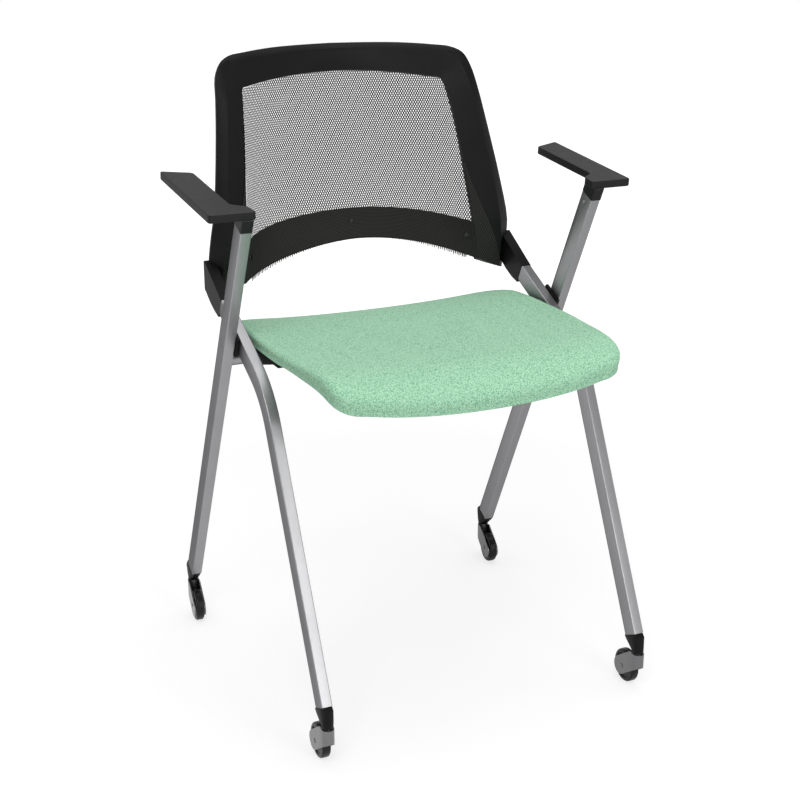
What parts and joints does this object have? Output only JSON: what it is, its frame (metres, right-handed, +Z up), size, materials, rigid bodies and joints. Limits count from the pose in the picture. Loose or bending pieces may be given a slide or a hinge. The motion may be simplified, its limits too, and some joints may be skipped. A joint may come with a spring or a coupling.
{
  "type": "nesting chair",
  "caption": "Nesting chair with crossed silver tube legs on casters, flip-up padded seat, black mesh back and cantilever arms.",
  "frame": {"origin": "on the floor, under the middle of the chair's bounding box at rest", "axes": "+Z up, -Y the way the sitter faces, +X the sitter's left; nodes named right lie at -X"},
  "size_m": [0.61, 0.5356, 0.8527],
  "materials": {
    "silver_tube": "satin silver paint on oval steel tube",
    "zinc_steel": "zinc plated",
    "hood_metal": "satin silver grey hood",
    "black_plastic": "fine grained black",
    "back_plastic": "fine grained black, soft sheen on the ridge",
    "arm_plastic": "fine leather grain, dark grey",
    "wheel_plastic": "smooth black",
    "mesh_fabric": "open black knitted mesh",
    "band_fabric": "ribbed black fabric over a stiff core",
    "seat_fabric": "pale green woven upholstery"
  },
  "bodies": {
    "frame": {"straight_tube_right": "silver_tube", "straight_tube_left": "silver_tube", "bent_tube_right": "silver_tube", "bent_tube_left": "silver_tube", "seat_cross_tube": "silver_tube", "crossing_block_right": "black_plastic", "crossing_block_left": "black_plastic", "crossing_bolt_right": "zinc_steel", "crossing_bolt_left": "zinc_steel", "stop_pin_right": "zinc_steel", "stop_pin_left": "zinc_steel", "back_bracket_right": "black_plastic", "back_bracket_left": "black_plastic", "back_frame": "back_plastic", "back_mesh": "mesh_fabric", "lumbar_band": "band_fabric", "band_screw_right": "zinc_steel", "band_screw_centre": "zinc_steel", "band_screw_left": "zinc_steel", "back_screw_right_low": "zinc_steel", "back_screw_left_low": "zinc_steel", "back_screw_right_high": "zinc_steel", "back_screw_left_high": "zinc_steel", "armrest_right": "arm_plastic", "armrest_left": "arm_plastic", "armrest_screw_right": "zinc_steel", "armrest_screw_left": "zinc_steel", "foot_cap_front_right": "black_plastic", "foot_cap_front_left": "black_plastic", "foot_cap_rear_right": "black_plastic", "foot_cap_rear_left": "black_plastic"},
    "seat": {"seat_cushion": "seat_fabric", "seat_pan": "black_plastic", "seat_hinge_bracket_right": "black_plastic", "seat_hinge_bracket_left": "black_plastic", "seat_screw_front_right": "zinc_steel", "seat_screw_front_left": "zinc_steel", "seat_screw_rear_right": "zinc_steel", "seat_screw_rear_left": "zinc_steel"},
    "caster_front_right": {"caster_fork_front_right": "hood_metal", "caster_stem_front_right": "zinc_steel", "caster_axle_front_right": "zinc_steel"},
    "wheel_front_right": {"caster_wheel_front_right": "wheel_plastic"},
    "caster_front_left": {"caster_fork_front_left": "hood_metal", "caster_stem_front_left": "zinc_steel", "caster_axle_front_left": "zinc_steel"},
    "wheel_front_left": {"caster_wheel_front_left": "wheel_plastic"},
    "caster_rear_right": {"caster_fork_rear_right": "hood_metal", "caster_stem_rear_right": "zinc_steel", "caster_axle_rear_right": "zinc_steel"},
    "wheel_rear_right": {"caster_wheel_rear_right": "wheel_plastic"},
    "caster_rear_left": {"caster_fork_rear_left": "hood_metal", "caster_stem_rear_left": "zinc_steel", "caster_axle_rear_left": "zinc_steel"},
    "wheel_rear_left": {"caster_wheel_rear_left": "wheel_plastic"}
  },
  "joints": [
    {"name": "seat_flip", "type": "hinge", "parent": "frame", "child": "seat", "pos_m": [0, 0.04087, 0.4645], "axis": [-1, 0, 0], "range_deg": [0, 78]},
    {"name": "caster_swivel_front_right", "type": "hinge", "parent": "frame", "child": "caster_front_right", "pos_m": [-0.2345, -0.25918, 0.0552], "axis": [0, 0, 1], "continuous": true},
    {"name": "wheel_spin_front_right", "type": "hinge", "parent": "caster_front_right", "child": "wheel_front_right", "pos_m": [-0.23356, -0.2322, 0.0235], "axis": [0.9994, -0.0349, 0], "continuous": true},
    {"name": "caster_swivel_front_left", "type": "hinge", "parent": "frame", "child": "caster_front_left", "pos_m": [0.2345, -0.25918, 0.0552], "axis": [0, 0, 1], "continuous": true},
    {"name": "wheel_spin_front_left", "type": "hinge", "parent": "caster_front_left", "child": "wheel_front_left", "pos_m": [0.23544, -0.2322, 0.0235], "axis": [0.9994, -0.0349, 0], "continuous": true},
    {"name": "caster_swivel_rear_right", "type": "hinge", "parent": "frame", "child": "caster_rear_right", "pos_m": [-0.2546, 0.23627, 0.0552], "axis": [0, 0, 1], "continuous": true},
    {"name": "wheel_spin_rear_right", "type": "hinge", "parent": "caster_rear_right", "child": "wheel_rear_right", "pos_m": [-0.25742, 0.20942, 0.0235], "axis": [-0.9945, 0.1045, 0], "continuous": true},
    {"name": "caster_swivel_rear_left", "type": "hinge", "parent": "frame", "child": "caster_rear_left", "pos_m": [0.2546, 0.23627, 0.0552], "axis": [0, 0, 1], "continuous": true},
    {"name": "wheel_spin_rear_left", "type": "hinge", "parent": "caster_rear_left", "child": "wheel_rear_left", "pos_m": [0.25178, 0.20942, 0.0235], "axis": [-0.9945, 0.1045, 0], "continuous": true}
  ]
}
